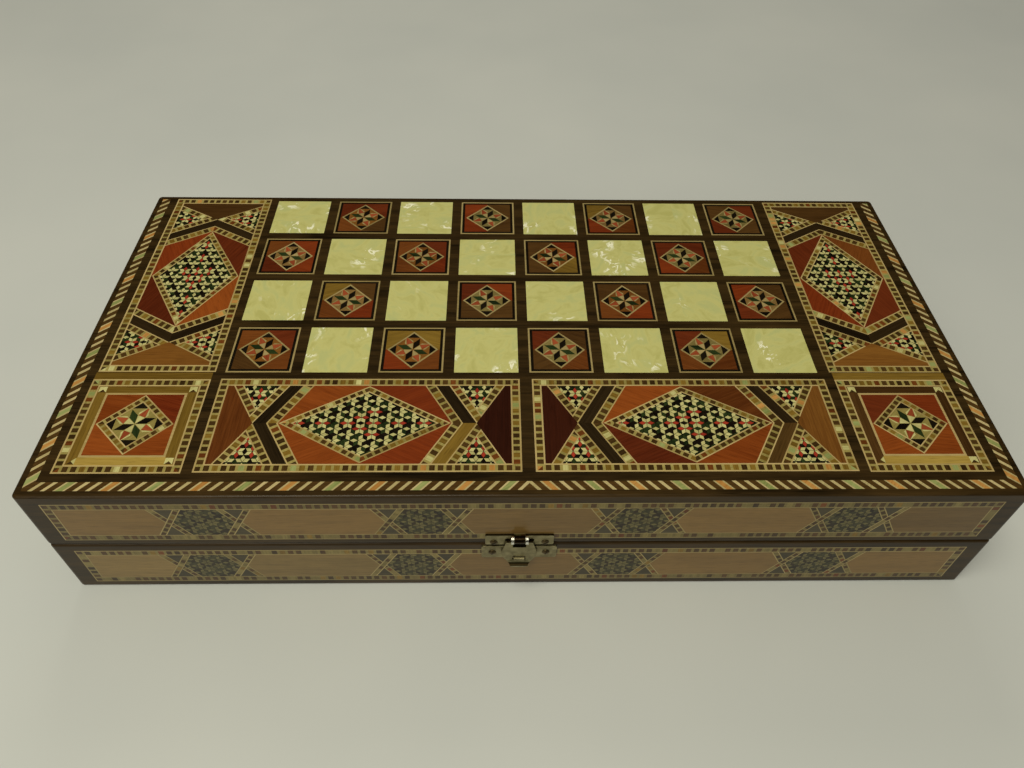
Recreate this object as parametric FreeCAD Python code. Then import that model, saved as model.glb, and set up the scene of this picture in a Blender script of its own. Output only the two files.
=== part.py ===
import FreeCAD, Part
import os
from math import cos, pi, radians, sin

# Inlaid folding backgammon case, millimetres.
# Origin: centre of the underside of the closed case. +X runs along the hinges,
# the latch is at -Y, the hinges at +Y, and +Z is up through the lid.
# Each half is drawn as a tray lying on its outer face, z = 0, with its rim at z = RIM.
# The base stays as drawn, and the lid is its mirror image above the parting plane.

Vector = FreeCAD.Vector
ALONG_X = Vector(1, 0, 0)
OUTWARD = Vector(0, -1, 0)
UP = Vector(0, 0, 1)
SIDES = ("front", "back", "left", "right")

# ---- Case ----
LENGTH = 480.0
DEPTH = 240.0
TRAY_HEIGHT = 42.0
PARTING_GAP = 0.3
WALL = 11.0
BOARD = 4.0
FIELD = 2.0
FIELD_PLAY = 0.2
CORNER_ROUND = 2.5
EDGE_ROUND = 1.2
RIM_ROUND = 1.8
HALF_LENGTH = LENGTH / 2
HALF_DEPTH = DEPTH / 2
FRONT = -HALF_DEPTH
RIM = TRAY_HEIGHT - PARTING_GAP / 2
FLOOR = BOARD + FIELD

# ---- Marquetry sunk into the outer faces ----
INLAY = 1.0
BAND_HEIGHT = 31.5
BAND_END = 10.5
BAND_MARGIN = {"base": 4.6, "lid": 6.0}
SQUARE = 34.5
SQUARE_PITCH = 40.45
CHESS_LEFT = -159.6
SQUARE_FROM_HINGE = 5.0
CHESS_COLUMNS = 8
CHESS_ROWS = 4
ROPE_INSET = 3.6
ROPE_WIDTH = 5.0
FRONT_PANEL = (3.25, 160.5, -106.0, -45.5)
SIDE_PANEL = (164.6, 226.3, -40.5, 116.7)
CORNER_PANEL = (165.8, 226.8, -106.5, -41.0)

# ---- Playing field inside each half ----
POINT_INLAY = 0.8
BORDER_INSET = 2.0
BORDER_WIDTH = 4.0
BORDER_TO_POINT = 1.2
FRAME_DEPTH = BORDER_INSET + BORDER_WIDTH + BORDER_TO_POINT
POINTS_PER_END = 6
POINT_PITCH = (DEPTH - 2 * WALL - 2 * FRAME_DEPTH) / POINTS_PER_END
POINT_LENGTH = 165.0
POINT_WIDTH = 32.0
MEDALLION_RADIUS = 34.0
MEDALLION_SIDES = 8

# ---- Butt hinges ----
HINGE_X = 150.0
HINGE_Y = HALF_DEPTH + PARTING_GAP / 2
LEAF_LENGTH = 38.0
LEAF = 1.2
LEAF_REACH = 9.5
KNUCKLES = 5
KNUCKLE_RADIUS = 2.2
KNUCKLE_GAP = 0.3
BARREL_CLEARANCE = 0.5
PIN_RADIUS = 1.0
PIN_CLEARANCE = 0.05
PIN_CHAMFER = 0.25
HINGE_SCREW_SPACING = 13.0
HINGE_SCREW_Y = HALF_DEPTH - 6.1
HINGE_SLOT_ANGLES = (25, 75, 125)

# ---- Screws ----
SHANK_RADIUS = 1.0
SHANK_LENGTH = 8.0
FLAT_HEAD_RADIUS = 2.1
FLAT_HEAD_HEIGHT = 1.1
DOME_HEAD_RADIUS = 2.0
DOME_HEAD_HEIGHT = 0.9
SLOT_WIDTH = 0.5
SLOT_DEPTH = 0.4
SCREW_TIP = 1.0
DOME_STEPS = 6

# ---- Hasp latch on the front ----
LATCH_X = -4.0
PLATE = 1.2
PLATE_ROUND = 1.0
LID_PLATE_WIDTH = 34.5
LID_PLATE_Z = (42.6, 51.0)
KEEPER_PLATE_WIDTH = 38.5
KEEPER_PLATE_Z = (30.0, 40.6)
LID_PLATE_SCREWS = ((-13.0, 45.0), (13.0, 45.0))
KEEPER_PLATE_SCREWS = ((-13.7, 35.2), (13.7, 35.2))
LATCH_AXIS_Z = 49.6
LATCH_AXIS_OUT = 2.7
LATCH_AXIS_Y = FRONT - LATCH_AXIS_OUT
LATCH_BARREL_RADIUS = 2.0
TONGUE_KNUCKLE = 5.2
EAR_WIDTH = 1.4
EAR_RADIUS = 2.4
EAR_GAP = 0.3
RELIEF_X = 6.0
RELIEF_Z = 46.9
RELIEF_RADIUS = 1.4
TONGUE_BACK = 1.7
TONGUE = 1.1
TONGUE_NECK_Z = 47.2
TONGUE_NECK_HALF = 6.6
TONGUE_WIDE_Z = 37.4
TONGUE_WIDE_HALF = 9.2
LIP_START_Z = 29.4
LIP_RADIUS = 2.2
LIP_SWEEP = 84.0
LIP_HALF = 3.4
LIP_END_Z = LIP_START_Z - LIP_RADIUS - TONGUE - 0.2
SIDE_BEND = ((TONGUE_WIDE_HALF + LIP_HALF) / 2 + 1.0, (TONGUE_WIDE_Z + LIP_END_Z) / 2 - 0.6)
WINDOW_HALF = 3.4
UPPER_WINDOW_Z = (42.4, 46.2)
LOWER_WINDOW_Z = (30.2, 33.8)
KEEPER_HALF = 2.8
KEEPER_Z = (30.9, 33.1)
KEEPER_OUT = 4.0
KEEPER_ROUND = 0.6
LID_SLOT_ANGLE = 35
KEEPER_SLOT_ANGLE = 70
NECK_CLEARANCE = 0.3
PLATE_EASE = 0.15

# ---- Playing pieces stored in the base ----
CHECKER_RADIUS = 16.0
CHECKER_HEIGHT = 9.0
CHECKER_ROUND = 1.2
CHECKER_DISH_RADIUS = 10.5
CHECKER_DISH_DEPTH = 0.8
STACKS = 5
STACK_HEIGHT = 3
STACK_GAP = 0.1
STACK_FROM_WALL = 0.8
DIE = 13.0
DIE_ROUND = 2.0
DICE_SPACING = 17.0


def box(x_range, y_range, z_range):
    """A block between three pairs of coordinates."""
    (x0, x1), (y0, y1), (z0, z1) = x_range, y_range, z_range
    return Part.makeBox(x1 - x0, y1 - y0, z1 - z0, Vector(x0, y0, z0))


def prism(points, z_range):
    """A plan outline raised between two heights."""
    z0, z1 = z_range
    corners = [Vector(x, y, z0) for x, y in points]
    wire = Part.makePolygon(corners + corners[:1])
    return Part.Face(wire).extrude(Vector(0, 0, z1 - z0))


def edges_where(shape, test):
    """The straight edges whose two ends pass a test."""
    picked = []
    for edge in shape.Edges:
        ends = [vertex.Point for vertex in edge.Vertexes]
        if len(ends) == 2 and test(ends[0], ends[1]):
            picked.append(edge)
    return picked


def upright(a, b):
    return abs(a.x - b.x) < 1e-6 and abs(a.y - b.y) < 1e-6


def for_half(shape, half):
    """Base shapes stay as drawn, and lid shapes are mirrored above the parting plane."""
    if half == "base":
        return shape
    return shape.mirror(Vector(0, 0, TRAY_HEIGHT), UP)


# ---- Trays ----

def tray_envelope():
    """The whole outside of one half, with its rounded corners and edges."""
    block = box((-HALF_LENGTH, HALF_LENGTH), (-HALF_DEPTH, HALF_DEPTH), (0, RIM))
    block = block.makeFillet(CORNER_ROUND, edges_where(block, upright))
    outer = [edge for edge in block.Edges if edge.BoundBox.ZMax < 1e-6]
    block = block.makeFillet(EDGE_ROUND, outer)
    rim = [edge for edge in block.Edges if edge.BoundBox.ZMin > RIM - 1e-6]
    return block.makeFillet(RIM_ROUND, rim)


def mitre_outline(side):
    """Plan of one wall between its 45 degree mitres."""
    x, y = HALF_LENGTH, HALF_DEPTH
    outer = {"front": ((-x, -y), (x, -y)), "back": ((x, y), (-x, y)),
             "left": ((-x, y), (-x, -y)), "right": ((x, -y), (x, y))}[side]
    inner = [(cx - WALL * (1 if cx > 0 else -1), cy - WALL * (1 if cy > 0 else -1))
             for cx, cy in reversed(outer)]
    return list(outer) + inner


def band_block(side, half):
    """The strip of marquetry let into one outer wall."""
    z = (BAND_MARGIN[half], BAND_MARGIN[half] + BAND_HEIGHT)
    if side in ("front", "back"):
        x = (-HALF_LENGTH + BAND_END, HALF_LENGTH - BAND_END)
        y = (-HALF_DEPTH, -HALF_DEPTH + INLAY) if side == "front" else (HALF_DEPTH - INLAY, HALF_DEPTH)
    else:
        y = (-HALF_DEPTH + BAND_END, HALF_DEPTH - BAND_END)
        x = (-HALF_LENGTH, -HALF_LENGTH + INLAY) if side == "left" else (HALF_LENGTH - INLAY, HALF_LENGTH)
    return box(x, y, z)


def both_sides(panel, z_range):
    """A panel at +X and its twin at -X."""
    x0, x1, y0, y1 = panel
    return [box((x0, x1), (y0, y1), z_range), box((-x1, -x0), (y0, y1), z_range)]


def chess_squares(pearl, half):
    """The 16 light or 16 mosaic squares of one half of the chess board."""
    squares = []
    for column in range(CHESS_COLUMNS):
        for row in range(CHESS_ROWS):
            is_pearl = (column + row) % 2 == (0 if half == "lid" else 1)
            if is_pearl != pearl:
                continue
            x = CHESS_LEFT + column * SQUARE_PITCH
            y = HALF_DEPTH - SQUARE_FROM_HINGE - row * SQUARE_PITCH
            squares.append(box((x, x + SQUARE), (y - SQUARE, y), (0, INLAY)))
    return squares


def rope_banding():
    """The roped strip along both ends and the front, open at the hinges."""
    outer_x = HALF_LENGTH - ROPE_INSET
    outer_y = -HALF_DEPTH + ROPE_INSET
    back_y = HALF_DEPTH - ROPE_INSET
    strip = box((-outer_x, outer_x), (outer_y, back_y), (0, INLAY))
    inner_x = outer_x - ROPE_WIDTH
    return strip.cut(box((-inner_x, inner_x), (outer_y + ROPE_WIDTH, back_y + 1), (0, INLAY)))


def outer_inlays(half):
    """Everything let into the big outer face of one half, by node name."""
    skin = (0, INLAY)
    return {"rope_banding": [rope_banding()],
            "pearl_squares": chess_squares(True, half),
            "mosaic_squares": chess_squares(False, half),
            "front_panels": both_sides(FRONT_PANEL, skin),
            "side_panels": both_sides(SIDE_PANEL, skin),
            "corner_panels": both_sides(CORNER_PANEL, skin)}


def point_centre(index):
    """Y of the middle of one of the six points at an end wall."""
    return (index - (POINTS_PER_END - 1) / 2) * POINT_PITCH


def field_points():
    """The twelve long triangles of one half as (light, dark) lists."""
    z = (FLOOR - POINT_INLAY, FLOOR)
    start = HALF_LENGTH - WALL - FRAME_DEPTH
    light, dark = [], []
    for end in (-1, 1):
        for index in range(POINTS_PER_END):
            y = point_centre(index)
            tip = (end * (start - POINT_LENGTH), y)
            corners = [(end * start, y - POINT_WIDTH / 2), (end * start, y + POINT_WIDTH / 2), tip]
            target = light if (index + (end > 0)) % 2 == 0 else dark
            target.append(prism(corners, z))
    return light, dark


def field_border():
    """The thin frame let into the field just inside the walls."""
    z = (FLOOR - POINT_INLAY, FLOOR)
    x = HALF_LENGTH - WALL - BORDER_INSET
    y = HALF_DEPTH - WALL - BORDER_INSET
    outer = box((-x, x), (-y, y), z)
    x, y = x - BORDER_WIDTH, y - BORDER_WIDTH
    return outer.cut(box((-x, x), (-y, y), z))


def field_medallion():
    """The eight-sided inlay at the middle of the field."""
    step = 2 * pi / MEDALLION_SIDES
    outline = [(MEDALLION_RADIUS * cos((k + 0.5) * step), MEDALLION_RADIUS * sin((k + 0.5) * step))
               for k in range(MEDALLION_SIDES)]
    return prism(outline, (FLOOR - POINT_INLAY, FLOOR))


def field_inlays():
    """Everything let into the playing field of one half, by node name."""
    light, dark = field_points()
    return {"light_points": light, "dark_points": dark,
            "field_border": [field_border()], "field_medallion": [field_medallion()]}


# ---- Screws ----

def screw_at(profile, point, axis, slot_along):
    """A slotted screw from its half section, head outwards along axis at point."""
    corners = [Vector(r, 0, h) for r, h in profile]
    face = Part.Face(Part.makePolygon(corners + corners[:1]))
    screw = face.revolve(Vector(0, 0, 0), UP, 360)
    top = max(h for r, h in profile)
    reach = 2 * FLAT_HEAD_RADIUS
    slot = box((-reach, reach), (-SLOT_WIDTH / 2, SLOT_WIDTH / 2), (top - SLOT_DEPTH, top + 1))
    slot.rotate(Vector(0, 0, 0), UP, slot_along)
    screw = screw.cut(slot)
    screw.Placement = FreeCAD.Placement(point, FreeCAD.Rotation(UP, axis))
    return screw


def flat_screw(point, axis, slot_along):
    """Countersunk: the head's top is level with the point."""
    head, depth = FLAT_HEAD_RADIUS, FLAT_HEAD_HEIGHT
    profile = [(0, 0), (head, 0), (SHANK_RADIUS, -depth),
               (SHANK_RADIUS, -depth - SHANK_LENGTH), (0, -depth - SHANK_LENGTH - SCREW_TIP)]
    return screw_at(profile, point, axis, slot_along)


def dome_screw(point, axis, slot_along):
    """Round headed: the head sits on the surface at the point."""
    step = pi / 2 / DOME_STEPS
    dome = [(DOME_HEAD_RADIUS * cos(k * step), DOME_HEAD_HEIGHT * sin(k * step))
            for k in range(DOME_STEPS)]
    profile = dome + [(0, DOME_HEAD_HEIGHT), (0, -PLATE - SHANK_LENGTH),
                      (SHANK_RADIUS, -PLATE - SHANK_LENGTH + SCREW_TIP), (SHANK_RADIUS, 0)]
    return screw_at(profile, point, axis, slot_along)


def screw_hole(point, axis):
    """The hole that the plain shank of either screw fills."""
    length = FLAT_HEAD_HEIGHT + PLATE + SHANK_LENGTH
    return Part.makeCylinder(SHANK_RADIUS, length, point - axis * length, axis)


def countersink(point, axis):
    return Part.makeCone(SHANK_RADIUS, FLAT_HEAD_RADIUS, FLAT_HEAD_HEIGHT,
                         point - axis * FLAT_HEAD_HEIGHT, axis)


# ---- Hinges ----

def hinge_screw_points(centre_x):
    return [Vector(centre_x + k * HINGE_SCREW_SPACING, HINGE_SCREW_Y, RIM) for k in (-1, 0, 1)]


def knuckle_span(centre_x, index):
    width = (LEAF_LENGTH - (KNUCKLES - 1) * KNUCKLE_GAP) / KNUCKLES
    start = centre_x - LEAF_LENGTH / 2 + index * (width + KNUCKLE_GAP)
    return start, start + width


def axis_cylinder(radius, x_range):
    """A cylinder about the lid's hinge axis."""
    x0, x1 = x_range
    return Part.makeCylinder(radius, x1 - x0, Vector(x0, HINGE_Y, TRAY_HEIGHT), ALONG_X)


def leaf_block(centre_x):
    ends = (centre_x - LEAF_LENGTH / 2, centre_x + LEAF_LENGTH / 2)
    return box(ends, (HINGE_Y - LEAF_REACH, HINGE_Y), (RIM - LEAF, RIM))


def hinge_leaf(centre_x, own, bore_radius):
    """A leaf let into the rim, with the knuckles whose numbers are its own."""
    leaf = leaf_block(centre_x)
    reach = KNUCKLE_RADIUS + KNUCKLE_GAP
    for index in range(KNUCKLES):
        x0, x1 = knuckle_span(centre_x, index)
        if index in own:
            leaf = leaf.fuse(axis_cylinder(KNUCKLE_RADIUS, (x0, x1)))
        else:
            x = (x0 - KNUCKLE_GAP, x1 + KNUCKLE_GAP)
            leaf = leaf.cut(box(x, (HINGE_Y - reach, HINGE_Y + 1), (RIM - LEAF - 1, RIM + 1)))
    ends = (centre_x - LEAF_LENGTH, centre_x + LEAF_LENGTH)
    leaf = leaf.cut(axis_cylinder(bore_radius, ends)).removeSplitter()
    for point in hinge_screw_points(centre_x):
        leaf = leaf.cut(screw_hole(point, UP)).cut(countersink(point, UP))
    return leaf


def hinge_recess(centre_x):
    """What the back wall of either half loses to one hinge."""
    ends = (centre_x - LEAF_LENGTH / 2, centre_x + LEAF_LENGTH / 2)
    room = axis_cylinder(KNUCKLE_RADIUS + BARREL_CLEARANCE, (ends[0] - KNUCKLE_GAP, ends[1] + KNUCKLE_GAP))
    recess = room.fuse(leaf_block(centre_x))
    for point in hinge_screw_points(centre_x):
        recess = recess.fuse(screw_hole(point - UP * LEAF, UP))
    return recess


def hinge_pin(centre_x):
    ends = (centre_x - LEAF_LENGTH / 2, centre_x + LEAF_LENGTH / 2)
    pin = axis_cylinder(PIN_RADIUS, ends)
    return pin.makeChamfer(PIN_CHAMFER, [edge for edge in pin.Edges if edge.BoundBox.XLength < 1e-6])


# ---- Latch ----

def latch_cylinder(radius, x_range):
    """A cylinder about the tongue's hinge axis, x measured from the latch's middle."""
    x0, x1 = x_range
    return Part.makeCylinder(radius, x1 - x0, Vector(LATCH_X + x0, LATCH_AXIS_Y, LATCH_AXIS_Z), ALONG_X)


def front_plate(width, z_range):
    """A plate lying on the front wall, with rounded corners and eased front edges."""
    x = (LATCH_X - width / 2, LATCH_X + width / 2)
    plate = box(x, (FRONT - PLATE, FRONT), z_range)
    corners = edges_where(plate, lambda a, b: abs(a.x - b.x) < 1e-6 and abs(a.z - b.z) < 1e-6)
    plate = plate.makeFillet(PLATE_ROUND, corners)
    eased = [edge for edge in plate.Edges if edge.BoundBox.YMax < FRONT - PLATE + 1e-6]
    return plate.makeFillet(PLATE_EASE, eased)


def latch_screw_points(places):
    return [Vector(LATCH_X + x, FRONT - PLATE, z) for x, z in places]


def latch_lid_plate():
    """Fixed to the lid, with two ears that carry the pin and a stamping hole beside each ear."""
    plate = front_plate(LID_PLATE_WIDTH, LID_PLATE_Z)
    half = TONGUE_KNUCKLE / 2 + EAR_GAP
    room = (LATCH_X - half, LATCH_X + half)
    bottom = LATCH_AXIS_Z - LATCH_BARREL_RADIUS - BARREL_CLEARANCE
    plate = plate.cut(box(room, (FRONT - 2 * PLATE, FRONT), (bottom, LID_PLATE_Z[1] + 1)))
    for start, stop in ((-half - EAR_WIDTH, -half), (half, half + EAR_WIDTH)):
        plate = plate.fuse(latch_cylinder(EAR_RADIUS, (start, stop)))
    plate = plate.removeSplitter().cut(latch_cylinder(PIN_RADIUS, (-LID_PLATE_WIDTH, LID_PLATE_WIDTH)))
    for x in (-RELIEF_X, RELIEF_X):
        hole_start = Vector(LATCH_X + x, FRONT, RELIEF_Z)
        plate = plate.cut(Part.makeCylinder(RELIEF_RADIUS, 2 * PLATE, hole_start, OUTWARD))
    for point in latch_screw_points(LID_PLATE_SCREWS):
        plate = plate.cut(screw_hole(point, OUTWARD))
    return plate


def latch_keeper_plate():
    """Fixed to the base, with the block that the tongue's lower window drops over."""
    plate = front_plate(KEEPER_PLATE_WIDTH, KEEPER_PLATE_Z)
    block_x = (LATCH_X - KEEPER_HALF, LATCH_X + KEEPER_HALF)
    block = box(block_x, (FRONT - KEEPER_OUT, FRONT - PLATE / 2), KEEPER_Z)
    nose = [edge for edge in block.Edges if edge.BoundBox.YMax < FRONT - KEEPER_OUT + 1e-6]
    plate = plate.fuse(block.makeFillet(KEEPER_ROUND, nose)).removeSplitter()
    for point in latch_screw_points(KEEPER_PLATE_SCREWS):
        plate = plate.cut(screw_hole(point, OUTWARD))
    return plate


def tongue_section():
    """Side view of the tongue: a flat strap that curls outwards into a finger lip."""
    back, front = FRONT - TONGUE_BACK, FRONT - TONGUE_BACK - TONGUE
    centre_y = front - LIP_RADIUS

    def on_arc(radius, angle):
        turn = radians(angle)
        return Vector(0, centre_y + radius * cos(turn), LIP_START_Z - radius * sin(turn))

    outer = LIP_RADIUS + TONGUE
    path = [Part.makeLine(Vector(0, back, LATCH_AXIS_Z), Vector(0, back, LIP_START_Z)),
            Part.Arc(on_arc(outer, 0), on_arc(outer, LIP_SWEEP / 2), on_arc(outer, LIP_SWEEP)).toShape(),
            Part.makeLine(on_arc(outer, LIP_SWEEP), on_arc(LIP_RADIUS, LIP_SWEEP)),
            Part.Arc(on_arc(LIP_RADIUS, LIP_SWEEP), on_arc(LIP_RADIUS, LIP_SWEEP / 2),
                     on_arc(LIP_RADIUS, 0)).toShape(),
            Part.makeLine(Vector(0, front, LIP_START_Z), Vector(0, front, LATCH_AXIS_Z)),
            Part.makeLine(Vector(0, front, LATCH_AXIS_Z), Vector(0, back, LATCH_AXIS_Z))]
    strap = Part.Face(Part.Wire(path)).extrude(Vector(2 * TONGUE_WIDE_HALF, 0, 0))
    strap.translate(Vector(LATCH_X - TONGUE_WIDE_HALF, 0, 0))
    return strap


def tongue_outline():
    """Front view of the tongue: flared shoulders and a rounded lower end."""
    def at(x, z):
        return Vector(LATCH_X + x, FRONT - 2 * LATCH_AXIS_OUT - LIP_RADIUS - TONGUE, z)

    shoulder, neck, wide = TONGUE_KNUCKLE / 2, TONGUE_NECK_HALF, TONGUE_WIDE_HALF
    bend, bend_z = SIDE_BEND
    path = [Part.makeLine(at(-shoulder, LATCH_AXIS_Z), at(-neck, TONGUE_NECK_Z)),
            Part.makeLine(at(-neck, TONGUE_NECK_Z), at(-wide, TONGUE_WIDE_Z)),
            Part.Arc(at(-wide, TONGUE_WIDE_Z), at(-bend, bend_z), at(-LIP_HALF, LIP_END_Z)).toShape(),
            Part.makeLine(at(-LIP_HALF, LIP_END_Z), at(LIP_HALF, LIP_END_Z)),
            Part.Arc(at(LIP_HALF, LIP_END_Z), at(bend, bend_z), at(wide, TONGUE_WIDE_Z)).toShape(),
            Part.makeLine(at(wide, TONGUE_WIDE_Z), at(neck, TONGUE_NECK_Z)),
            Part.makeLine(at(neck, TONGUE_NECK_Z), at(shoulder, LATCH_AXIS_Z)),
            Part.makeLine(at(shoulder, LATCH_AXIS_Z), at(-shoulder, LATCH_AXIS_Z))]
    depth = 2 * LATCH_AXIS_OUT + LIP_RADIUS + TONGUE
    return Part.Face(Part.Wire(path)).extrude(Vector(0, depth, 0))


def latch_tongue():
    """The swinging part: knuckle, strap with two windows, and finger lip."""
    tongue = tongue_section().common(tongue_outline())
    y = (FRONT - 2 * LATCH_AXIS_OUT, FRONT)
    neck_room = box((LATCH_X - TONGUE_WIDE_HALF, LATCH_X + TONGUE_WIDE_HALF), y,
                    (TONGUE_NECK_Z - NECK_CLEARANCE, LATCH_AXIS_Z + 1))
    neck_kept = box((LATCH_X - TONGUE_KNUCKLE / 2, LATCH_X + TONGUE_KNUCKLE / 2), y,
                    (TONGUE_NECK_Z - 1, LATCH_AXIS_Z + 1))
    tongue = tongue.cut(neck_room.cut(neck_kept))
    half = TONGUE_KNUCKLE / 2
    tongue = tongue.fuse(latch_cylinder(LATCH_BARREL_RADIUS, (-half, half))).removeSplitter()
    tongue = tongue.cut(latch_cylinder(PIN_RADIUS + PIN_CLEARANCE, (-LID_PLATE_WIDTH, LID_PLATE_WIDTH)))
    window_x = (LATCH_X - WINDOW_HALF, LATCH_X + WINDOW_HALF)
    for window_z in (UPPER_WINDOW_Z, LOWER_WINDOW_Z):
        tongue = tongue.cut(box(window_x, y, window_z))
    return tongue


def latch_pin():
    half = TONGUE_KNUCKLE / 2 + EAR_GAP + EAR_WIDTH
    pin = latch_cylinder(PIN_RADIUS, (-half, half))
    return pin.makeChamfer(PIN_CHAMFER, [edge for edge in pin.Edges if edge.BoundBox.XLength < 1e-6])


# ---- Playing pieces ----

def checker(centre):
    """A turned disc with rounded edges and a shallow dish in both faces."""
    disc = Part.makeCylinder(CHECKER_RADIUS, CHECKER_HEIGHT, centre)
    rims = [edge for edge in disc.Edges if edge.BoundBox.ZLength < 1e-6]
    disc = disc.makeFillet(CHECKER_ROUND, rims)
    for z in (centre.z, centre.z + CHECKER_HEIGHT - CHECKER_DISH_DEPTH):
        dish = Part.makeCylinder(CHECKER_DISH_RADIUS, CHECKER_DISH_DEPTH, Vector(centre.x, centre.y, z))
        disc = disc.cut(dish)
    return disc


def storage_row(end):
    """Centres of the places along one end wall, in line with the points there."""
    x = end * (HALF_LENGTH - WALL - STACK_FROM_WALL - CHECKER_RADIUS)
    return [(x, point_centre(index)) for index in range(POINTS_PER_END)]


def checker_stacks(end):
    """Fifteen checkers in five stacks of three."""
    stacks = []
    for x, y in storage_row(end)[:STACKS]:
        for level in range(STACK_HEIGHT):
            z = FLOOR + STACK_GAP + level * (CHECKER_HEIGHT + STACK_GAP)
            stacks.append(checker(Vector(x, y, z)))
    return stacks


def dice():
    """Two dice in the free place at the right end wall."""
    x, y = storage_row(1)[-1]
    pair = []
    for step in (-0.5, 0.5):
        x0 = x - DIE / 2
        y0 = y + step * DICE_SPACING - DIE / 2
        die = box((x0, x0 + DIE), (y0, y0 + DIE), (FLOOR + STACK_GAP, FLOOR + STACK_GAP + DIE))
        pair.append(die.makeFillet(DIE_ROUND, die.Edges))
    return pair


# ---- Assembly ----

def tray_nodes(half):
    """The wooden parts and inlays of one half, by node name."""
    envelope = tray_envelope()
    board = envelope.common(box((-LENGTH, LENGTH), (-DEPTH, DEPTH), (0, BOARD)))
    nodes = outer_inlays(half)
    for solids in nodes.values():
        for solid in solids:
            board = board.cut(solid)
    field_x = HALF_LENGTH - WALL - FIELD_PLAY
    field_y = HALF_DEPTH - WALL - FIELD_PLAY
    field = box((-field_x, field_x), (-field_y, field_y), (BOARD, FLOOR))
    inside = field_inlays()
    for solids in inside.values():
        for solid in solids:
            field = field.cut(solid)
    nodes.update(inside)
    nodes["board"] = [board]
    nodes["playing_field"] = [field]
    for side in SIDES:
        wedge = prism(mitre_outline(side), (BOARD, RIM))
        band = band_block(side, half)
        nodes[side + "_rail"] = [envelope.common(wedge).cut(band)]
        nodes[side + "_band"] = [band]
    for centre_x in (-HINGE_X, HINGE_X):
        nodes["back_rail"] = [nodes["back_rail"][0].cut(hinge_recess(centre_x))]
    return {half + "_" + name: [for_half(solid, half) for solid in solids]
            for name, solids in nodes.items()}


def hinge_nodes():
    nodes = {"base_hinge_screws": [], "lid_hinge_screws": []}
    for side, centre_x in (("left", -HINGE_X), ("right", HINGE_X)):
        base_leaf = hinge_leaf(centre_x, (0, 2, 4), PIN_RADIUS)
        lid_leaf = hinge_leaf(centre_x, (1, 3), PIN_RADIUS + PIN_CLEARANCE)
        nodes[side + "_hinge_base_leaf"] = [base_leaf]
        nodes[side + "_hinge_lid_leaf"] = [for_half(lid_leaf, "lid")]
        nodes[side + "_hinge_pin"] = [hinge_pin(centre_x)]
        for point, slot_angle in zip(hinge_screw_points(centre_x), HINGE_SLOT_ANGLES):
            screw = flat_screw(point, UP, slot_angle)
            nodes["base_hinge_screws"].append(screw)
            nodes["lid_hinge_screws"].append(for_half(screw, "lid"))
    return nodes


def latch_nodes():
    return {"latch_lid_plate": [latch_lid_plate()],
            "latch_tongue": [latch_tongue()],
            "latch_pin": [latch_pin()],
            "latch_keeper_plate": [latch_keeper_plate()],
            "latch_lid_screws": [dome_screw(point, OUTWARD, LID_SLOT_ANGLE)
                                 for point in latch_screw_points(LID_PLATE_SCREWS)],
            "latch_base_screws": [dome_screw(point, OUTWARD, KEEPER_SLOT_ANGLE)
                                  for point in latch_screw_points(KEEPER_PLATE_SCREWS)]}


def drill_front(nodes, half, places):
    """Screw holes through the front wall and the marquetry band of one half."""
    for name in (half + "_front_rail", half + "_front_band"):
        solid = nodes[name][0]
        for point in latch_screw_points(places):
            solid = solid.cut(screw_hole(point, OUTWARD))
        nodes[name] = [solid]


def all_nodes():
    nodes = {}
    for half in ("base", "lid"):
        nodes.update(tray_nodes(half))
    nodes.update(hinge_nodes())
    nodes.update(latch_nodes())
    drill_front(nodes, "lid", LID_PLATE_SCREWS)
    drill_front(nodes, "base", KEEPER_PLATE_SCREWS)
    nodes["light_checkers"] = checker_stacks(-1)
    nodes["dark_checkers"] = checker_stacks(1)
    nodes["dice"] = dice()
    return nodes


def main():
    os.makedirs("parts", exist_ok=True)
    for name, solids in all_nodes().items():
        shape = solids[0] if len(solids) == 1 else Part.makeCompound(solids)
        if not shape.isValid():
            print("not valid:", name)
        shape.exportStep("parts/" + name + ".step")
        print(name, len(shape.Solids), round(shape.Volume / 1000, 2), "cm3")


main()
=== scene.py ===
import math
import random

import bmesh
import bpy
from mathutils import Matrix, Vector
from mathutils.geometry import delaunay_2d_cdt


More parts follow.
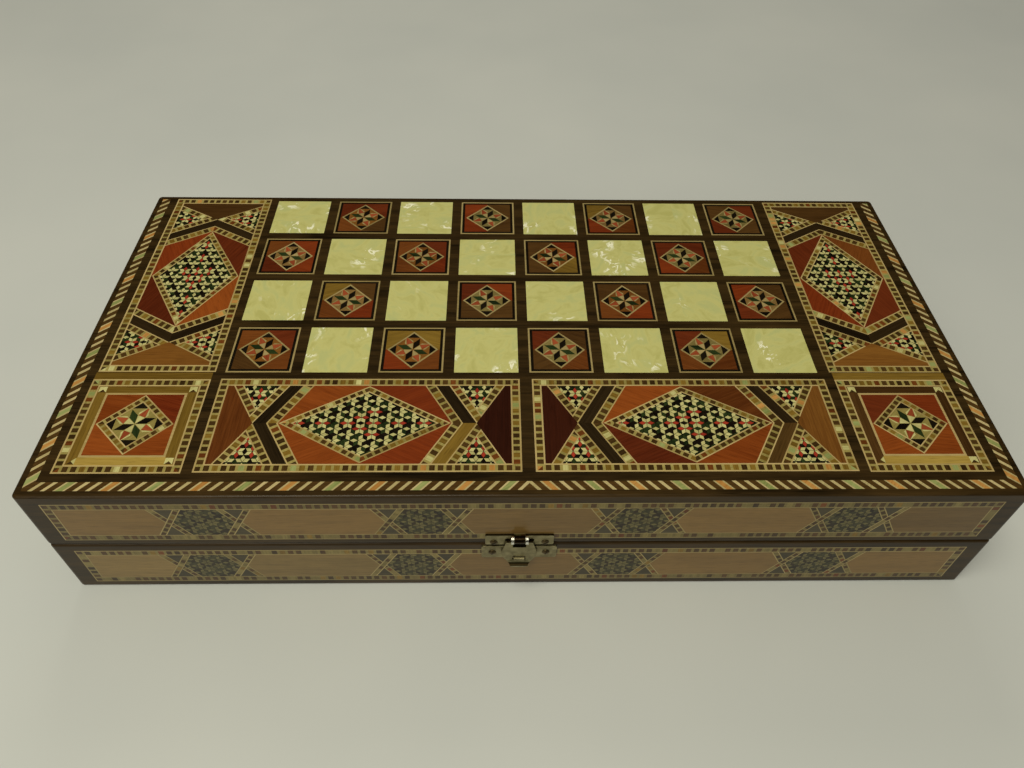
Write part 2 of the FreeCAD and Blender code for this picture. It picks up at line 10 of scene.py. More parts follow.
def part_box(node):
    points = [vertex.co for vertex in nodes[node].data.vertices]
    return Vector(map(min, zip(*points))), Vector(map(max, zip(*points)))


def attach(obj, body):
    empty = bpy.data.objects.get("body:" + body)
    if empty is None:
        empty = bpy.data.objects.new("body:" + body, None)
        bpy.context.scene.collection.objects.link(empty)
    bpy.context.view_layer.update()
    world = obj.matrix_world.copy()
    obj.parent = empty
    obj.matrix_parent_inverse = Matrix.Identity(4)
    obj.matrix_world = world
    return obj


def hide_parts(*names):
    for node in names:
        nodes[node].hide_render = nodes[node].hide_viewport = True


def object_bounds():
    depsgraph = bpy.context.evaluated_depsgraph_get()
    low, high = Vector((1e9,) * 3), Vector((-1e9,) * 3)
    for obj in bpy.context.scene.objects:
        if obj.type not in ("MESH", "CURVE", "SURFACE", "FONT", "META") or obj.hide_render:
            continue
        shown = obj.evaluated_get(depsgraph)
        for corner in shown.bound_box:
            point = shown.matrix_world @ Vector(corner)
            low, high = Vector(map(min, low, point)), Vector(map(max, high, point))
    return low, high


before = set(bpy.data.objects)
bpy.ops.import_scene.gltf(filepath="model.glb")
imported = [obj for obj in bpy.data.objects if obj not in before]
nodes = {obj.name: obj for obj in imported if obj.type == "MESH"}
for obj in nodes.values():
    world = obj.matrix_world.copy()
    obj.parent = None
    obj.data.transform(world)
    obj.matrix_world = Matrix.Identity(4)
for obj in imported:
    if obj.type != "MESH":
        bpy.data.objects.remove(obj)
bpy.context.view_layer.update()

# Inlaid folding backgammon case. The CAD frame gives every place and size. Marquetry is drawn
# here flat, in millimetres, as a closed sheet of many small shaped pieces of wood, bone and
# nacre, and each sheet is laid in the pocket of the CAD inlay that it replaces.

MM = 0.001
HALVES = ("base", "lid")
TAN60 = math.tan(math.radians(60))
SIN60 = math.sin(math.radians(60))
EIGHTH = 45  # degrees
SEED = 11
chance = random.Random(SEED)

# ---- Making the sheets ----
CDT_TRIANGLES = 1
CDT_EPSILON = 0.002
BUCKET = 3.0
SMALLEST_PIECE = 0.02
GRAIN_SHIFT = 900

# ---- Pattern sizes, millimetres ----
GLUE_LINE = 0.11
BORDER = 4.9
EDGE_LINE = 0.75
THIN_LINE = 0.6
BLOCK_PITCH = 4.1
BLOCK_SHARE = 0.66
# Long panels. Places are measured along the panel from its middle.
LOZENGE_LADDER = 3.7
LOZENGE_END_GAP = 0.3
LOZENGE_SIDE_GAP = 0.4
CHEVRON_LADDER = 4.6
HEXAGON_AT = 43.6
BLACK_CHEVRON_TO = 49.4
CROSSING_AT = 56.2
# The middles of side panels are this near to the case's own middle line.
SIDE_PANEL_REACH = 60.0
# Star mosaics: the side of a rhombus, spare grid round the region, and how far the cores of the
# middle rows and of the middle ring reach, in steps of the grid.
TESSERA = 2.45
GRID_SPARE = 1.3
STAR_ROWS = 0.6
STAR_RING = 2.3
CROSSING_RING = 1.1
# Where the star of a crossing is, as a share of the panel's half height.
CROSSING_STAR_AT = 0.62
# Pinwheels, as shares of their radius or of their blades.
BLADE = 0.405
TIP_FROM = 0.72
RIM_OUT = 1.16
SLIP_OUT = 1.3
# Corner panels.
CORNER_BAND = 4.7
CORNER_LINE = 1.2
CORNER_GAP = 0.4
CORNER_LOZENGE_GAP = 0.2
DIVIDER = 4.9
# Chess squares.
SQUARE_LINE = 0.95
SQUARE_FRAME = 1.5
SQUARE_DIAMOND = 14.0
SQUARE_DIAMOND_LINE = 1.25
SQUARE_STAR_TURN = 1.5 * EIGHTH
NACRE_PLATES = (1, 2, 2, 3)
NACRE_CUT_REACH = 0.6
# Rope banding.
ROPE_WIDTH = 5.0
ROPE_FIRST = 7.6
ROPE_UNIT = 20.7
ROPE_WIDE = 5.4
ROPE_THIN = 2.1
ROPE_EDGE = 1.1
ROPE_LEAN = 4.6
# Side bands.
BAND_BORDER = 4.6
BAND_LINE = 0.5
BAND_TESSERA = 2.2
BAND_RING = 1.2
BAND_PITCH = 105.7
BAND_REACH = 16.6
BAND_STRIP = 3.3
FIRST_MEDALLION = {"lid": -157.0, "base": -164.0}
MEDALLIONS_ALONG = 4
# Playing field. The layers of a point are bone and wood in turn, at these insets.
POINT_LAYERS = (0.0, 0.8, 3.0, 3.5)
POINT_STAR_AT = 16
POINT_STAR_EDGE = 8.4
POINT_STAR = 7.6
FIELD_BORDER = 4.0
MEDALLION_STAR = 25.5
MEDALLION_LADDER = 3.0

# ---- How far the grain turns, in degrees ----
QUADRANT_GRAIN = 25
CORNER_GRAIN = (-20, 20)
SQUARE_GRAIN = (-30, 30)
NACRE_GRAIN = (0, 180)
ROPE_GRAIN = (30, 60)
PLATE_GRAIN = (-2, 2)

# ---- Woods and where they go ----
# The dark and the light of each wood's grain, as 0 to 255 screen values.
WOODS = {
    "ebony": ((15, 11, 6), (31, 24, 14)), "bog oak": ((28, 20, 9), (50, 37, 18)),
    "green": ((24, 35, 15), (46, 60, 28)), "sage": ((45, 44, 23), (67, 65, 37)),
    "plum": ((40, 15, 7), (62, 26, 12)), "wenge": ((46, 24, 14), (78, 44, 26)),
    "smoke": ((50, 43, 27), (74, 66, 44)), "rosewood": ((52, 36, 14), (84, 60, 26)),
    "umber": ((60, 38, 14), (88, 60, 26)), "maroon": ((80, 30, 10), (108, 46, 18)),
    "russet": ((84, 42, 12), (118, 66, 24)), "red": ((98, 35, 9), (130, 55, 18)),
    "flame": ((112, 50, 11), (146, 74, 24)), "scarlet": ((138, 40, 26), (170, 60, 40)),
    "coral": ((128, 56, 30), (162, 80, 46)), "amber": ((100, 60, 20), (132, 88, 34)),
    "walnut": ((100, 76, 24), (136, 108, 42)), "tan": ((100, 78, 42), (131, 103, 58)),
    "moss": ((84, 78, 44), (114, 106, 64)), "khaki": ((104, 92, 50), (134, 120, 70)),
    "oak": ((116, 96, 56), (147, 122, 74)), "gold": ((150, 125, 56), (184, 156, 78)),
    "apricot": ((166, 116, 56), (196, 146, 80)), "lemon": ((132, 120, 64), (164, 150, 88)),
    "leaf": ((126, 134, 76), (154, 162, 102)), "horn": ((140, 124, 78), (170, 152, 104)),
    "bone": ((164, 142, 90), (194, 172, 120)), "pale bone": ((170, 156, 108), (196, 180, 132)),
    "cream": ((174, 169, 110), (204, 199, 138)), "pale": ((176, 140, 84), (206, 172, 112)),
    "maple": ((176, 138, 84), (208, 172, 116))}
TOP_LADDER = {"line": "bone", "ground": "lemon",
              "blocks": ("rosewood",) * 20 + ("walnut",) * 7 + ("russet",) * 2
              + ("cream", "apricot", "leaf")}
BAND_LADDER = {"line": "horn", "ground": "khaki",
               "blocks": ("rosewood",) * 8 + ("umber",) * 6 + ("khaki",) * 4 + ("walnut", "russet")}
TOP_STARS = {"dark": "ebony", "green": "green", "light": "cream", "core": "scarlet"}
BAND_STARS = {"dark": "bog oak", "green": "sage", "light": "moss", "core": "moss"}
# Long panels by (front panel, right side). Ends are left and right. Quadrants round the
# lozenge are upper left, upper right, lower left and lower right. The odd arm is the lower
# one of the right chevron, and the other arms are bog oak.
LOZENGE_WOODS = {
    (True, False): {"ends": ("russet", "plum"), "odd arm": "walnut",
                    "quadrants": ("flame", "red", "flame", "red")},
    (True, True): {"ends": ("plum", "amber"), "odd arm": "rosewood",
                   "quadrants": ("flame", "russet", "maroon", "flame")},
    (False, False): {"ends": ("amber", "umber"), "odd arm": "bog oak",
                     "quadrants": ("maroon", "red", "flame", "maroon")},
    (False, True): {"ends": ("amber", "umber"), "odd arm": "bog oak",
                    "quadrants": ("red", "maroon", "maroon", "russet")}}
# Corner panels on the left and on the right: the quarters of the middle from lower left, and
# the plain band round it from the near side, both anticlockwise.
CORNER_WOODS = (("flame", "flame", "red", "flame"), ("flame", "flame", "red", "maroon"))
CORNER_BANDS = (("gold", "walnut", "walnut", "walnut"), ("gold", "umber", "umber", "umber"))
SQUARE_WOODS = ("maroon",) * 3 + ("russet",) * 3 + ("umber",) * 3 + ("walnut", "red", "red")
SQUARE_STAR_GROUNDS = ("amber", "tan", "khaki")
ROPE_COLOURS = ("apricot", "leaf")
PLATE_WOODS = {"lid": ("tan",) * 5, "base": ("oak", "oak", "tan", "tan", "tan")}
CASE_WOOD = ((17, 12, 5), (70, 52, 24))
FIELD_WOOD = ((92, 56, 30), (128, 84, 48))

# ---- Finishes ----
# Noises are a scale, or one for each axis, then detail, roughness and distortion. Bumps are a
# strength and a height in metres. Stops are where the two colours of a ramp are.
BLACK = (0, 0, 0, 1)
WHITE = (1, 1, 1, 1)
COAT = 0.22
COAT_ROUGHNESS = 0.09
CASE_COAT = 0.08
FIELD_COAT = 0.4
LACQUER_SPECULAR = 0.18
WOOD_ROUGHNESS = (0.28, 0.44)
INLAY_FIGURE = 0.35
CASE_FIGURE = 0.6
FIELD_FIGURE = 0.5
TONE_SHARE = 0.15
FIBRE_NOISE = ((0.035, 0.9, 0.9), 5.0, 0.6, 0.25)
BROAD_NOISE = ((0.012, 0.12, 0.12), 3.0, 0.5, 0.8)
PORE_NOISE = ((0.12, 3.4, 3.4), 2.0, 0.5)
PORE_TINTS = ((0.3, (0.55, 0.52, 0.5, 1)), (0.46, WHITE))
PORE_STRENGTH = 0.75
WOOD_STOPS = (0.3, 0.7)
WOOD_BUMP = (0.12, 0.0002)
NACRE_CLOUD = ((0.07, 0.11, 0.1), 4.0, 0.6, 0.8)
NACRE_SILK = ((0.10, 0.5, 0.3), 3.0, 0.6, 2.4)
NACRE_CRUMPLE = ((0.13, 0.22, 0.3), 3.0, 0.55, 1.3)
NACRE_PATCH = ((0.055, 0.05, 0.05), 1.0)
NACRE_LAYERS = ((0.34, (186, 184, 112)), (0.5, (200, 198, 128)), (0.66, (188, 192, 128)))
# Painted glints of the nacre: the shards and patches where they are, and their near-white colour.
NACRE_SHARDS = ((0.54, BLACK), (0.60, WHITE), (0.72, (0.35, 0.35, 0.35, 1)))
NACRE_PATCHES = ((0.57, BLACK), (0.67, WHITE))
NACRE_PAINTED_GLINT = (255, 255, 232)
NACRE_ROUGHNESS = (0.22, 0.42)
NACRE_BUMP = (0.15, 0.0003)
NACRE_COAT = 0.45
NACRE_COAT_ROUGHNESS = 0.07
NACRE_SPECULAR = 0.6
CLOUD_STOPS = (0.35, 0.65)
METAL_CLOUD = (0.25, 4.0)
METAL_SCRATCH = ((0.6, 9.0, 6.0), 2.0)
METAL_BUMP = (0.08, 0.0001)
# Metals: the dark and the light of their clouds, and the range of their roughness.
NICKEL = ((122, 114, 84), (156, 148, 114), (0.38, 0.56))
SCREW_STEEL = ((70, 58, 38), (104, 90, 64), (0.29, 0.47))
BRASS = ((150, 116, 60), (196, 160, 92), (0.28, 0.46))
# Painted highlight for the lid plate's knuckle, and painted dark reflection for the tongue's knuckle.
KNUCKLE_PAINTED_HIGHLIGHT = (226, 224, 214)
KNUCKLE_PAINTED_REFLECTION = (44, 34, 22)
# Painted dark reflection on latch faces that look up: its colour, and its ramp over how much a face
# looks up.
PAINTED_TOP_REFLECTION = (46, 38, 22)
TOP_REFLECTION_STOPS = ((0.30, BLACK), (0.65, WHITE))
KNUCKLE_REACH = 2.6
KNUCKLE_BACK = 0.9
KNUCKLE_POLISH = 0.2
RESIN_CLOUD = ((0.5, 0.5, 0.15), 4.0)
RESIN_ROUGHNESS = (0.22, 0.34)
RESIN_BUMP = (0.05, 0.0001)
DICE_RESIN = ((206, 196, 168), (224, 216, 190))
PIP_RESIN = ((18, 14, 12), (30, 24, 20))

# ---- Playing pieces, millimetres ----
CHECKER_HEIGHT = 9.0
TURNED_SIDES = 72
# Half of a checker's turned profile: radius, then depth below the top face.
CHECKER_PROFILE = ((4.4, 1.25), (4.9, 0.95), (5.4, 0.8), (5.9, 0.95), (6.4, 1.25), (9.6, 1.2),
                   (10.5, 0.8), (11.0, 0.35), (11.6, 0.08), (12.4, 0.0), (14.2, 0.0), (15.0, 0.12),
                   (15.6, 0.5), (15.9, 1.0), (16.0, 1.8), (16.0, 3.4), (15.75, 3.8), (15.7, 4.2))
BEAD_RADII = (4.6, 6.2)
DIE_INSET = 0.15
DIE_ROUND = 1.6
DIE_ROUND_STEPS = 5
PIP_RADIUS = 1.05
PIP_SPACING = 3.3
PIP_FLATNESS = 0.12
PIP_STEPS = 10
PIP_SPOTS = {1: ((0, 0),), 2: ((-1, -1), (1, 1)), 3: ((-1, -1), (0, 0), (1, 1)),
             4: ((-1, -1), (-1, 1), (1, -1), (1, 1)), 5: ((-1, -1), (-1, 1), (0, 0), (1, -1), (1, 1)),
             6: ((-1, -1), (-1, 0), (-1, 1), (1, -1), (1, 0), (1, 1))}
DIE_FACES = ((1, (0, 0, 1)), (6, (0, 0, -1)), (2, (0, -1, 0)),
             (5, (0, 1, 0)), (3, (1, 0, 0)), (4, (-1, 0, 0)))

# ---- Stage, metres ----
FLOOR_SIZE = 6.0
FLOOR_GAP = 0.0002
FLOOR_TONES = ((200, 205, 206), (208, 212, 212))
FLOOR_ROUGHNESS = (0.48, 0.52)
FLOOR_MOTTLE = 0.004
# The camera's place and its own right and up directions. Lens and sensor are millimetres.
CAMERA_AT = Vector((-0.01744, -0.32555, 0.38873))
CAMERA_RIGHT = Vector((0.99970, -0.01614, 0.01851))
CAMERA_UP = Vector((-0.00048, 0.74068, 0.67186))
CAMERA_LENS = 27.36
CAMERA_SENSOR = 36.0
CAMERA_CLIP = 0.01
WARM_LIGHT = (1.0, 0.95, 0.76)
# Name, place, target, size, power in watts, and whether the lacquer reflects it.
LIGHTS = (("overhead", (-0.35, -0.5, 1.6), (-0.1, -0.1, 0), 0.7, 12.0, True),
          ("front", (-0.6, -1.2, 1.1), (0, -0.3, 0), 0.8, 6.0, True),
          ("backdrop", (-0.1, 1.9, 1.5), (-0.1, 1.1, 0), 1.2, 9.5, False))
STUDIO_AIR = (222, 216, 200)
STUDIO_STRENGTH = 0.36


# ---- Flat geometry ----

def edges_of(outline):
    return zip(outline, outline[1:] + outline[:1])


def signed_area(outline):
    return sum(ax * by - bx * ay for (ax, ay), (bx, by) in edges_of(outline)) / 2


def anticlockwise(outline):
    return list(outline) if signed_area(outline) > 0 else list(reversed(outline))


def centre_of(outline):
    return tuple(sum(values) / len(outline) for values in zip(*outline))


def polar(radius, degrees, centre=(0, 0)):
    turn = math.radians(degrees)
    return centre[0] + radius * math.cos(turn), centre[1] + radius * math.sin(turn)


def spun(x, y, turn):
    return x * math.cos(turn) - y * math.sin(turn), x * math.sin(turn) + y * math.cos(turn)


def rectangle(half_x, half_y, centre=(0, 0)):
    x, y = centre
    return [(x - half_x, y - half_y), (x + half_x, y - half_y),
            (x + half_x, y + half_y), (x - half_x, y + half_y)]


def quarter_of(outline, k):
    """The quarter at corner k of a rectangle that has its middle at the origin."""
    (ax, ay), (bx, by), (cx, cy) = outline[k], outline[(k + 1) % 4], outline[k - 1]
    return [(ax, ay), ((ax + bx) / 2, (ay + by) / 2), (0, 0), ((ax + cx) / 2, (ay + cy) / 2)]


def diamond(half_x, half_y):
    return [(half_x, 0), (0, half_y), (-half_x, 0), (0, -half_y)]


def clipped(outline, region):
    """The part of an outline that lies inside a convex, anticlockwise region."""
    kept = list(outline)
    for (ax, ay), (bx, by) in edges_of(region):
        source, kept = kept, []
        for (px, py), (qx, qy) in edges_of(source):
            p_side = (bx - ax) * (py - ay) - (by - ay) * (px - ax)
            q_side = (bx - ax) * (qy - ay) - (by - ay) * (qx - ax)
            if p_side >= 0:
                kept.append((px, py))
            if (p_side >= 0) != (q_side >= 0):
                share = p_side / (p_side - q_side)
                kept.append((px + (qx - px) * share, py + (qy - py) * share))
        if not kept:
            return []
    return kept


def is_inside(outline, spot):
    x, y = spot
    crossings = 0
    for (ax, ay), (bx, by) in edges_of(outline):
        if (ay > y) != (by > y) and x < ax + (y - ay) * (bx - ax) / (by - ay):
            crossings += 1
    return crossings % 2 == 1


def inset(outline, distance):
    """A convex, anticlockwise outline moved inwards."""
    moved = []
    for k, (x, y) in enumerate(outline):
        (ax, ay), (bx, by) = outline[k - 1], outline[(k + 1) % len(outline)]
        before = Vector((x - ax, y - ay)).normalized()
        after = Vector((bx - x, by - y)).normalized()
        scale = distance / (1 + before.dot(after))
        moved.append((x - (before.y + after.y) * scale, y + (before.x + after.x) * scale))
    return moved


# ---- Pieces in the scene ----

def show(piece):
    bpy.context.scene.collection.objects.link(piece)


def made_object(bm, name, finishes):
    """Turns a bmesh into an object in the scene, with one material slot for each finish."""
    bmesh.ops.recalc_face_normals(bm, faces=bm.faces[:])
    mesh = bpy.data.meshes.new(name)
    bm.to_mesh(mesh)
    bm.free()
    for finish in finishes:
        mesh.materials.append(finish)
    piece = bpy.data.objects.new(name, mesh)
    show(piece)
    return piece


def replace(piece, node, body):
    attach(piece, body)
    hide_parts(node)


def corners_of(solid):
    """Low and high corners of a list of points."""
    axes = list(zip(*solid))
    return Vector([min(axis) for axis in axes]), Vector([max(axis) for axis in axes])


def solids_of(node):
    """Low and high corners of each separate solid of a CAD node, from left to right."""
    mesh = nodes[node].data
    keys = [tuple(round(c, 6) for c in v.co) for v in mesh.vertices]
    leader = {key: key for key in keys}

    def lead(key):
        while leader[key] != key:
            key = leader[key]
        return key

    for edge in mesh.edges:
        a, b = (lead(keys[i]) for i in edge.vertices)
        leader[a] = b
    groups = {}
    for key in leader:
        groups.setdefault(lead(key), []).append(key)
    boxes = [corners_of(group) for group in groups.values()]
    return sorted(boxes, key=lambda box: (box[0].x, box[0].y))


# ---- Sheets of marquetry ----

class Sheet:
    """Marquetry drawn flat in millimetres. Later pieces cover earlier ones."""

    def __init__(self):
        self.pieces = []
        self.shift = (0, 0)

    def add(self, outline, wood, grain=0.0, region=None):
        """Adds a piece, with its grain at an angle in degrees, inside a convex region if given."""
        if region is not None:
            outline = clipped(outline, region)
        if len(outline) < 3 or abs(signed_area(outline)) < SMALLEST_PIECE:
            return
        dx, dy = self.shift
        moved = [(x + dx, y + dy) for x, y in anticlockwise(outline)]
        self.pieces.append((moved, wood, grain))

    def owners(self, spots):
        """The number of the topmost piece over each spot, or None off the sheet."""
        buckets = {}
        for index, (x, y) in enumerate(spots):
            buckets.setdefault((int(x // BUCKET), int(y // BUCKET)), []).append(index)
        owner = [None] * len(spots)
        for number, (outline, _, _) in enumerate(self.pieces):
            xs, ys = [x for x, y in outline], [y for x, y in outline]
            for column in range(int(min(xs) // BUCKET), int(max(xs) // BUCKET) + 1):
                for row in range(int(min(ys) // BUCKET), int(max(ys) // BUCKET) + 1):
                    for index in buckets.get((column, row), ()):
                        if is_inside(outline, spots[index]):
                            owner[index] = number
        return owner

    def cut(self):
        """Cuts the overlapping outlines into cells, each owned by the piece on top there."""
        points, faces = [], []
        for outline, _, _ in self.pieces:
            faces.append(list(range(len(points), len(points) + len(outline))))
            points.extend(Vector(p) for p in outline)
        cut = delaunay_2d_cdt(points, [], faces, CDT_TRIANGLES, CDT_EPSILON, False)
        flat, cells = cut[0], cut[2]
        middles = [centre_of([(flat[i].x, flat[i].y) for i in cell]) for cell in cells]
        return flat, cells, self.owners(middles)

    def lay(self, name, place, thickness):
        """Makes the closed sheet: its face is at the place's own height, its back is below."""
        flat, cells, owners = self.cut()
        grades = []
        for _ in self.pieces:
            shade = chance.uniform(-1, 1)
            grades.append((shade, chance.uniform(0, GRAIN_SHIFT), chance.uniform(0, GRAIN_SHIFT)))
        woods = sorted({wood for _, wood, _ in self.pieces})
        bm = bmesh.new()
        tone = bm.faces.layers.float.new("tone")
        along = bm.loops.layers.float_vector.new("grain")
        verts = [bm.verts.new((p.x, p.y, 0)) for p in flat]
        for cell, owner in zip(cells, owners):
            if owner is None:
                continue
            _, wood, grain = self.pieces[owner]
            face = bm.faces.new([verts[i] for i in cell])
            face.material_index = woods.index(wood)
            face[tone], shift_x, shift_y = grades[owner]
            turn = math.radians(-grain)
            for loop in face.loops:
                x, y = spun(loop.vert.co.x, loop.vert.co.y, turn)
                loop[along] = (x + shift_x, y + shift_y, 0)
        bmesh.ops.delete(bm, geom=[v for v in bm.verts if not v.link_faces], context="VERTS")
        made = bmesh.ops.extrude_face_region(bm, geom=bm.faces[:], use_keep_orig=True)["geom"]
        back = [g for g in made if isinstance(g, bmesh.types.BMVert)]
        bmesh.ops.translate(bm, verts=back, vec=(0, 0, -thickness / MM))
        bm.transform(place @ Matrix.Scale(MM, 4))
        return made_object(bm, name, [material(wood) for wood in woods])


def lay_flat(node, half, upward, paint, turned=False):
    """Paints and lays one sheet in place of each solid of a flat CAD inlay.

    Each paint function gets the sheet, its half sizes, and where its middle is in plan.
    """
    for index, (low, high) in enumerate(solids_of(node)):
        middle = (low + high) / 2
        middle.z = high.z if upward else low.z
        half_x, half_y = (high.x - low.x) / 2 / MM, (high.y - low.y) / 2 / MM
        if turned:
            half_x, half_y = half_y, half_x
        sheet = Sheet()
        paint(sheet, half_x, half_y, Vector((middle.x, middle.y)) / MM)
        flip = Matrix.Diagonal((1, 1, 1 if upward else -1, 1))
        turn = Matrix.Rotation(math.pi / 2 if turned else 0, 4, "Z")
        place = Matrix.Translation(middle) @ flip @ turn
        piece = sheet.lay(f"{node}_sheet_{index + 1}", place, high.z - low.z)
        replace(piece, node, half)


# ---- Repeated marquetry motifs ----

def ladder(sheet, start, stop, width, region, line=THIN_LINE, woods=TOP_LADDER):
    """A bone-edged row of small blocks just inside one edge of a convex region."""
    region = anticlockwise(region)
    (ax, ay), (bx, by) = start, stop
    length = math.dist(start, stop)
    ux, uy = (bx - ax) / length, (by - ay) / length
    cx, cy = centre_of(region)
    side = 1 if ux * (cy - ay) - uy * (cx - ax) > 0 else -1
    nx, ny = -uy * side, ux * side
    grain = math.degrees(math.atan2(uy, ux))

    def slab(from_s, to_s, from_w, to_w):
        return [(ax + ux * s + nx * w, ay + uy * s + ny * w)
                for s, w in ((from_s, from_w), (to_s, from_w), (to_s, to_w), (from_s, to_w))]

    sheet.add(slab(-width, length + width, 0, width), woods["line"], grain, region)
    sheet.add(slab(-width, length + width, line, width - line), woods["ground"], grain, region)
    count = max(1, round(length / BLOCK_PITCH))
    pitch = length / count
    margin = pitch * (1 - BLOCK_SHARE) / 2
    low, high = line + GLUE_LINE, width - line - GLUE_LINE
    for k in range(-1, count + 1):
        wood = chance.choice(woods["blocks"])
        block = slab(k * pitch + margin, (k + 1) * pitch - margin, low, high)
        sheet.add(block, wood, grain + 90, region)


def ladder_frame(sheet, outline, width, line=THIN_LINE, woods=TOP_LADDER):
    """Ladders round a convex outline with mitred corners. Returns the outline inside them."""
    inner = inset(outline, width)
    for k in range(len(outline)):
        after = (k + 1) % len(outline)
        quad = [outline[k], outline[after], inner[after], inner[k]]
        ladder(sheet, outline[k], outline[after], width, quad, line, woods)
    return inner


def star_mosaic(sheet, region, side=TESSERA, turn=0, origin=(0, 0), rows=STAR_ROWS, ring=STAR_RING,
                woods=TOP_STARS):
    """Sixty-degree rhombi on a triangular grid: light stars, dark and green between them.

    The grid points are of three kinds, and each rhombus joins two of different kinds.
    """
    region = anticlockwise(region)
    sheet.add(region, woods["dark"])
    reach = side * 2 * SIN60
    wide = max(math.dist(corner, origin) for corner in region)
    count = int(wide / reach * GRID_SPARE) + 2
    for m in range(-count, count + 1):
        for n in range(-count, count + 1):
            at = polar(n * reach, turn + 60, polar(m * reach, turn, origin))
            if math.dist(at, origin) > wide + reach:
                continue
            for k in range(3):
                tip = polar(reach, turn + 60 * k, at)
                middle = ((at[0] + tip[0]) / 2, (at[1] + tip[1]) / 2)
                rhombus = [at, polar(side / 2, turn + 60 * k - 90, middle), tip,
                           polar(side / 2, turn + 60 * k + 90, middle)]
                kind = (m - n) % 3
                other = (kind + (2 if k == 1 else 1)) % 3
                wood = woods["dark"] if (m + n + k) % 2 else woods["green"]
                if 1 in (kind, other):
                    heart = at if kind == 1 else tip
                    in_ring = math.dist(heart, origin) < reach * ring
                    cored = abs(heart[1] - origin[1]) < reach * rows or in_ring
                    if 0 in (kind, other) or k == 0 or cored:
                        wood = woods["core"] if cored and k == 0 else woods["light"]
                sheet.add(inset(rhombus, GLUE_LINE), wood, turn + 60 * k, region)


def pinwheel(sheet, radius, turn, ground="tan", light="cream"):
    """An eight-bladed star in a square standing on its corner."""
    square = diamond(radius, radius)
    sheet.add(square, ground, 45)
    shoulder = TIP_FROM * radius
    spread = math.degrees(math.atan2(radius - shoulder, shoulder))
    away = math.hypot(shoulder, radius - shoulder)
    for at in range(0, 360, 90):
        corner = [polar(radius, at), polar(away, at + spread), polar(away, at - spread)]
        sheet.add(corner, "ebony", 45)
    blade = BLADE * radius
    for k in range(8):
        direction = turn + EIGHTH * k
        first, second = polar(blade, direction - EIGHTH / 2), polar(blade, direction + EIGHTH / 2)
        tip = (first[0] + second[0], first[1] + second[1])
        if k % 2 == 0:
            dark = "green" if k % 4 else "ebony"
            sheet.add(inset([(0, 0), first, tip, second], GLUE_LINE), dark, direction, square)
            continue
        rim = polar(RIM_OUT * math.hypot(*tip), direction)
        sheet.add(inset([first, rim, second], GLUE_LINE), "coral", direction, square)
        sheet.add(inset([(0, 0), first, second], GLUE_LINE), light, direction)
        for near in (first, second):
            far = polar(SLIP_OUT * blade, math.degrees(math.atan2(near[1], near[0])))
            slip = anticlockwise([near, far, rim])
            sheet.add(inset(slip, GLUE_LINE / 2), light, direction, square)


# ---- Panels ----

def paint_lozenge_panel(sheet, half_x, half_y, centre):
    """A long panel: a star lozenge in the middle, dark chevrons and crossings at the ends."""
    outline = rectangle(half_x, half_y)
    sheet.add(outline, "bone")
    ladder_frame(sheet, outline, BORDER, EDGE_LINE)
    fx, fy = half_x - BORDER, half_y - BORDER
    run = fy / TAN60
    woods = LOZENGE_WOODS[abs(centre.y) > SIDE_PANEL_REACH, centre.x > 0]
    for s in (-1, 1):
        sheet.add([(s * fx, fy), (s * (CROSSING_AT + run), fy), (s * CROSSING_AT, 0),
                   (s * (CROSSING_AT + run), -fy), (s * fx, -fy)], woods["ends"][s > 0], 90)
        for t in (-1, 1):
            cross, star_at = (s * CROSSING_AT, 0), (s * CROSSING_AT, t * fy * CROSSING_STAR_AT)
            out, back = (s * (CROSSING_AT + run), t * fy), (s * (CROSSING_AT - run), t * fy)
            small = [cross, out, back]
            star_mosaic(sheet, small, turn=90, origin=star_at, rows=0, ring=CROSSING_RING)
            ladder(sheet, cross, out, CHEVRON_LADDER, small)
            ladder(sheet, cross, back, CHEVRON_LADDER, small)
            dark_in, dark_out = (s * BLACK_CHEVRON_TO, 0), (s * (BLACK_CHEVRON_TO - run), t * fy)
            arm = woods["odd arm"] if s > 0 and t < 0 else "bog oak"
            sheet.add([cross, back, dark_out, dark_in], arm, 60 * s * -t)
            hex_in, hex_out = (s * HEXAGON_AT, 0), (s * (HEXAGON_AT - run), t * fy)
            quad = [dark_in, dark_out, hex_out, hex_in]
            ladder(sheet, dark_in, dark_out, (BLACK_CHEVRON_TO - HEXAGON_AT) * SIN60, quad)
            quadrant = woods["quadrants"][(t < 0) * 2 + (s > 0)]
            sheet.add([(0, 0), hex_in, hex_out, (0, t * fy)], quadrant, QUADRANT_GRAIN * s * t)
    lozenge = diamond(HEXAGON_AT - LOZENGE_END_GAP, fy - LOZENGE_SIDE_GAP)
    star_mosaic(sheet, ladder_frame(sheet, lozenge, LOZENGE_LADDER))


